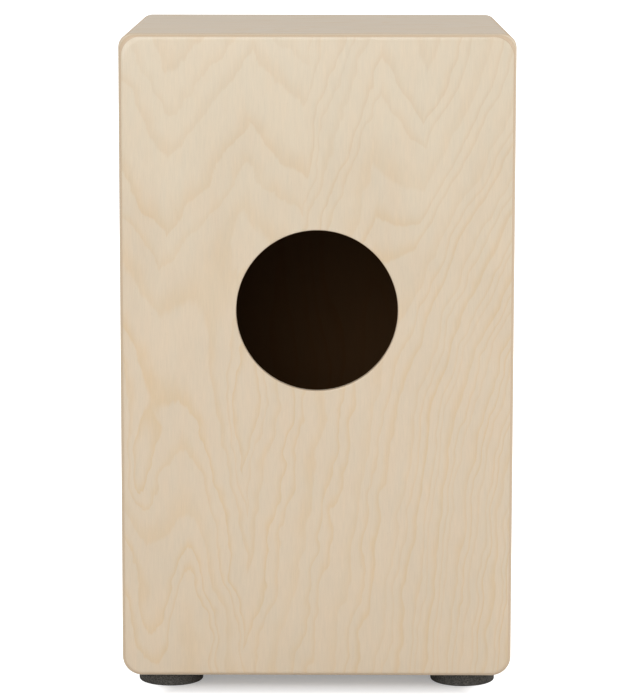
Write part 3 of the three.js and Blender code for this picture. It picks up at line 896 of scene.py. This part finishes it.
def coil(points_per_turn=7, turn_pitch=2.0 * MM, strand=0.2 * MM, sides=4):
    """Vertices and faces of one coiled wire that runs up Z from z = 0."""
    turns = WIRE_LENGTH / turn_pitch
    count = int(turns * points_per_turn)
    radius = WIRE_RADIUS - strand
    climb = turn_pitch / math.tau / radius
    vertices = []
    for index in range(count + 1):
        angle = index / points_per_turn * math.tau
        out = Vector((math.cos(angle), math.sin(angle), 0))
        along = Vector((-math.sin(angle), math.cos(angle), climb)).normalized()
        side = out.cross(along)
        height = index / count * (WIRE_LENGTH - 2 * strand) + strand
        middle = out * radius + Vector((0, 0, height))
        for corner in range(sides):
            turn = corner / sides * math.tau
            vertices.append(middle + (out * math.cos(turn) + side * math.sin(turn)) * strand)
    faces = ring_faces(sides, count + 1)
    last = count * sides
    faces.append(tuple(range(sides)))
    faces.append(tuple(reversed(range(last, last + sides))))
    return vertices, [tuple(reversed(face)) for face in faces]


def plate_outline(width, height, radius=1.5 * MM, steps=5):
    """A small rounded rectangle, anticlockwise round the origin."""
    points = []
    for corner, (sign_x, sign_z) in enumerate([(1, 1), (-1, 1), (-1, -1), (1, -1)]):
        for step in range(steps + 1):
            angle = (corner + step / steps) * QUARTER
            points.append((
                sign_x * (width / 2 - radius) + radius * math.cos(angle),
                sign_z * (height / 2 - radius) + radius * math.sin(angle),
            ))
    return np.array(points)


def slab(name, outline, back, front, soft=0.2 * MM):
    """A flat slab in the snare frame between two depths, with softened edges."""
    small = inset_loop(outline, soft)
    stations = [(small, front), (outline, front - soft), (outline, back + soft), (small, back)]
    return lofted(name, [[(x, y, z) for x, z in loop] for loop, y in stations])


def join(name, parts):
    """One object from a list of [vertices, faces] parts that don't touch."""
    vertices, faces = [], []
    for part_vertices, part_faces in parts:
        start = len(vertices)
        vertices += [tuple(v) for v in part_vertices]
        faces += [tuple(start + i for i in face) for face in part_faces]
    return new_object(name, vertices, faces)


def snare_set(side, sign):
    """An end plate with its row of coiled wires, which sink a little into the plate."""
    node = f"snare_set_{side}"
    low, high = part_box(node)
    place = SNARE_FRAME @ Matrix.Translation((sign * SNARE_FROM_MIDDLE, 0, 0))
    front = GLUE_LINE + PLATE_THICKNESS
    plate = slab(node + "_plate", plate_outline(high.x - low.x, PLATE_HEIGHT), GLUE_LINE, front)
    plate.data.transform(place)
    dress(plate, spring_steel, "snare_wire", SNARE_BODY, node)

    wire_vertices, wire_faces = coil()
    depth = front + WIRE_RADIUS - WIRE_SINK
    parts = []
    for index in range(WIRE_COUNT):
        x = (index - (WIRE_COUNT - 1) / 2) * WIRE_PITCH
        shift = Vector((x, depth, WIRE_START))
        parts.append(([v + shift for v in wire_vertices], wire_faces))
    wires = join(node + "_wires", parts)
    wires.data.transform(place)
    dress(wires, spring_steel, "snare_wire", SNARE_BODY, node)


def add_snare():
    """The bar with its snare sets, pads and screws, and the blocks that carry it."""
    soften_cad("snare_bar", beech, BEECH_SOFTNESS)
    snare_screw = screw_mesh("snare_screw_mesh", SNARE_SCREW)
    for side, sign in SIDES.items():
        snare_set(side, sign)
        soften_cad(f"snare_block_{side}", beech, BEECH_SOFTNESS)
        soften_cad(f"loop_pad_{side}", velcro, PAD_SOFTNESS)
        soften_cad(f"hook_pad_{side}", velcro, PAD_SOFTNESS)
        for index, offset in enumerate((-SNARE_SCREW_SPREAD, SNARE_SCREW_SPREAD)):
            node = f"snare_screw_{side}_{index + 1}"
            x = sign * SNARE_FROM_MIDDLE + offset
            seat = Vector((x, 2 * GLUE_LINE + PLATE_THICKNESS, -SNARE_SCREW_DROP))
            place = SNARE_FRAME @ aimed((0, -1, 0), seat)
            place_screw(node, snare_screw, place, zinc, "zinced_steel", SNARE_BODY)


# ---------------------------------------------------------------- studio
ROOM_STRENGTH = 0.64
FLOOR_COLOUR = (0.79, 0.80, 0.82, 1)
PAINTED_GLOW_START = 42 * MM  # inside the box's sides, where the floor's painted glow starts to rise towards white
PAINTED_GLOW_BESIDE = 30 * MM
PAINTED_GLOW_BEYOND = 36 * MM
CAMERA_PLACE = (8.5 * MM, -2.617, 0.6395)
CAMERA_PITCH = math.radians(8.61)  # downwards
CAMERA_ROLL = math.radians(-0.07)
CAMERA_SWING = math.radians(0.19)
CAMERA_LENS = 168.5


def studio_world():
    """White behind the object for the camera, and a soft grey room for everything else."""
    world = bpy.data.worlds.new("studio")
    world.use_nodes = True
    tree = world.node_tree
    room = tree.nodes["Background"]
    room.inputs["Color"].default_value = (1, 1, 1, 1)
    room.inputs["Strength"].default_value = ROOM_STRENGTH
    white = tree.nodes.new("ShaderNodeBackground")
    white.inputs["Color"].default_value = (1, 1, 1, 1)
    white.inputs["Strength"].default_value = 1.0
    seen = tree.nodes.new("ShaderNodeLightPath")
    mix = tree.nodes.new("ShaderNodeMixShader")
    tree.links.new(seen.outputs["Is Camera Ray"], mix.inputs[0])
    tree.links.new(room.outputs[0], mix.inputs[1])
    tree.links.new(white.outputs[0], mix.inputs[2])
    tree.links.new(mix.outputs[0], tree.nodes["World Output"].inputs["Surface"])
    bpy.context.scene.world = world


def studio_floor():
    """A large white floor with painted light: a glow that only the camera sees, weak under the box
    so that its shadow shows there, and strong further out, where it paints the shadow out and fades
    the floor into the white behind it. It is clear from below.
    """
    shader = Shader("studio_floor")
    tree = shader.tree
    diffuse = shader.add("ShaderNodeBsdfDiffuse", {"Color": FLOOR_COLOUR})
    # Painted light: the camera-only glow rises from 0.30 under the box to full strength beside and
    # beyond it, which sets where the shadow shows.
    beside = (shader.math("ABSOLUTE", shader.x) - (BODY_WIDTH / 2 - PAINTED_GLOW_START)) / PAINTED_GLOW_BESIDE
    beyond = (shader.math("ABSOLUTE", shader.y) - BODY_DEPTH / 2) / PAINTED_GLOW_BEYOND
    painted_glow_strength = shader.ramp(shader.math("MAXIMUM", beside, beyond), 0.0, 1.0, 0.30, 1.0)
    seen = tree.nodes.new("ShaderNodeLightPath").outputs["Is Camera Ray"]
    glow = shader.add("ShaderNodeEmission", {"Strength": painted_glow_strength * Value(shader, seen)})
    both = shader.add("ShaderNodeAddShader", {0: diffuse.outputs[0], 1: glow.outputs[0]})
    from_below = tree.nodes.new("ShaderNodeNewGeometry").outputs["Backfacing"]
    clear = tree.nodes.new("ShaderNodeBsdfTransparent").outputs[0]
    one_sided = shader.add("ShaderNodeMixShader", {0: from_below, 1: both.outputs[0], 2: clear})
    tree.links.new(one_sided.outputs[0], tree.nodes["Material Output"].inputs["Surface"])
    half = 40.0
    corners = [(-half, -half, 0), (half, -half, 0), (half, half, 0), (-half, half, 0)]
    floor = new_object("studio_floor", corners, [(0, 1, 2, 3)])
    floor.data.materials.append(shader.material)


def soft_box(name, azimuth, elevation, distance, size, power):
    """A square area light that looks at the middle of the object."""
    light = bpy.data.lights.new(name, "AREA")
    light.shape = "SQUARE"
    light.size = size
    light.energy = power
    target = Vector((0, 0, BODY_MIDDLE))
    azimuth, elevation = math.radians(azimuth), math.radians(elevation)
    away = Vector((
        math.sin(azimuth) * math.cos(elevation),
        -math.cos(azimuth) * math.cos(elevation),
        math.sin(elevation),
    ))
    lamp = bpy.data.objects.new(name, light)
    lamp.location = target + away * distance
    lamp.rotation_mode = "QUATERNION"
    lamp.rotation_quaternion = away.to_track_quat("Z", "Y")
    bpy.context.scene.collection.objects.link(lamp)


def camera():
    """A long lens from a little above, almost square to the rear panel."""
    lens = bpy.data.cameras.new("camera")
    lens.sensor_width = 36
    lens.lens = CAMERA_LENS
    lens.clip_end = 100
    eye = bpy.data.objects.new("camera", lens)
    eye.location = CAMERA_PLACE
    eye.rotation_euler = (QUARTER - CAMERA_PITCH, CAMERA_ROLL, CAMERA_SWING)
    bpy.context.scene.collection.objects.link(eye)
    bpy.context.scene.camera = eye


add_box()
add_box_screws()
add_feet()
add_snare()
studio_world()
studio_floor()
soft_box("key_light", azimuth=-12, elevation=20, distance=2.2, size=1.3, power=11.8)
soft_box("fill_light", azimuth=44, elevation=26, distance=2.4, size=1.0, power=8)
soft_box("back_light", azimuth=214, elevation=16, distance=2.6, size=1.6, power=15)
soft_box("side_light", azimuth=110, elevation=12, distance=2.6, size=1.6, power=12)
camera()
bpy.context.scene.view_settings.view_transform = "Standard"
